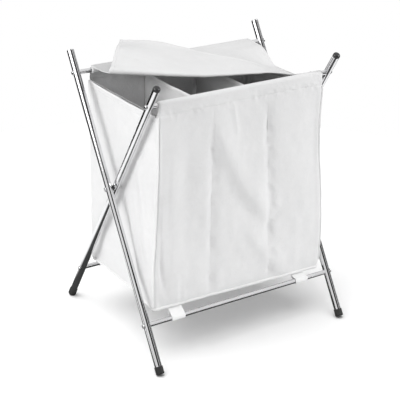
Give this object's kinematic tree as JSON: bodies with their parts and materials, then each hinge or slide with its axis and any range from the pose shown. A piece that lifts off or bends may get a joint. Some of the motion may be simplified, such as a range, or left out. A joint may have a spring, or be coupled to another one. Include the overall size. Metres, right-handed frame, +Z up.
{
  "type": "laundry sorter",
  "caption": "Folding laundry sorter: crossed chrome tube legs pivot at each end and carry a white fabric bag with side-by-side compartments and a fold-back cover.",
  "frame": {"origin": "on the floor under the middle of the sorter, with both frames open", "axes": "+X along the bars from left to right, +Y from the front to the back, +Z up"},
  "size_m": [0.627, 0.5388, 0.7679],
  "materials": {
    "chrome_tube": "bright chrome plate",
    "plated_bolt": "bright zinc plate",
    "plated_nut": "satin zinc plate",
    "insert_plastic": "moulded nylon",
    "spacer_plastic": "moulded nylon",
    "foot_rubber": "satin moulded rubber",
    "cap_plastic": "semi-gloss moulded",
    "plug_plastic": "silver-grey moulded",
    "bag_cloth": "plain-weave white polyester",
    "divider_cloth": "plain-weave white polyester",
    "cover_cloth": "plain-weave white polyester",
    "strap_webbing": "white woven tape"
  },
  "bodies": {
    "outer_frame": {"outer_leg_left": "chrome_tube", "outer_leg_right": "chrome_tube", "top_back_bar": "chrome_tube", "bottom_front_bar": "chrome_tube", "outer_frame_bar_inserts": "insert_plastic", "outer_frame_bolts": "plated_bolt", "foot_front_left": "foot_rubber", "foot_front_right": "foot_rubber", "top_plug_left": "plug_plastic", "top_plug_right": "plug_plastic", "pivot_bolt_left": "plated_bolt", "pivot_bolt_right": "plated_bolt", "pivot_spacer_left": "spacer_plastic", "pivot_spacer_right": "spacer_plastic", "pivot_nut_left": "plated_nut", "pivot_nut_right": "plated_nut", "back_sleeve": "bag_cloth"},
    "inner_frame": {"inner_leg_left": "chrome_tube", "inner_leg_right": "chrome_tube", "top_front_bar": "chrome_tube", "bottom_back_bar": "chrome_tube", "inner_frame_bar_inserts": "insert_plastic", "inner_frame_bolts": "plated_bolt", "foot_back_left": "foot_rubber", "foot_back_right": "foot_rubber", "top_cap_left": "cap_plastic", "top_cap_right": "cap_plastic", "front_sleeve": "bag_cloth"},
    "bag": {"bag_front_panel": "bag_cloth", "bag_back_panel": "bag_cloth", "bag_left_panel": "bag_cloth", "bag_right_panel": "bag_cloth", "bag_floor": "bag_cloth", "divider_left": "divider_cloth", "divider_right": "divider_cloth", "front_strap_left": "strap_webbing", "front_strap_right": "strap_webbing", "back_strap_left": "strap_webbing", "back_strap_right": "strap_webbing"},
    "cover": {"cover_flap": "cover_cloth"}
  },
  "joints": [
    {"name": "fold", "type": "hinge", "parent": "outer_frame", "child": "inner_frame", "pos_m": [0, 0, 0.43265], "axis": [-1, 0, 0], "range_deg": [0, 56], "deforming": ["bag_front_panel", "bag_back_panel", "bag_left_panel", "bag_right_panel", "bag_floor", "divider_left", "divider_right", "front_strap_left", "front_strap_right", "back_strap_left", "back_strap_right", "cover_flap"]},
    {"name": "bag_swing", "type": "hinge", "parent": "outer_frame", "child": "bag", "pos_m": [0, 0.16573, 0.70523], "axis": [-1, 0, 0], "range_deg": [0, 28]},
    {"name": "cover_lift", "type": "hinge", "parent": "bag", "child": "cover", "pos_m": [0, 0.16573, 0.70523], "axis": [-1, 0, 0], "range_deg": [0, 120]}
  ],
  "couplings": [
    {"joint": "bag_swing", "follows": "fold", "ratio": 0.5}
  ]
}
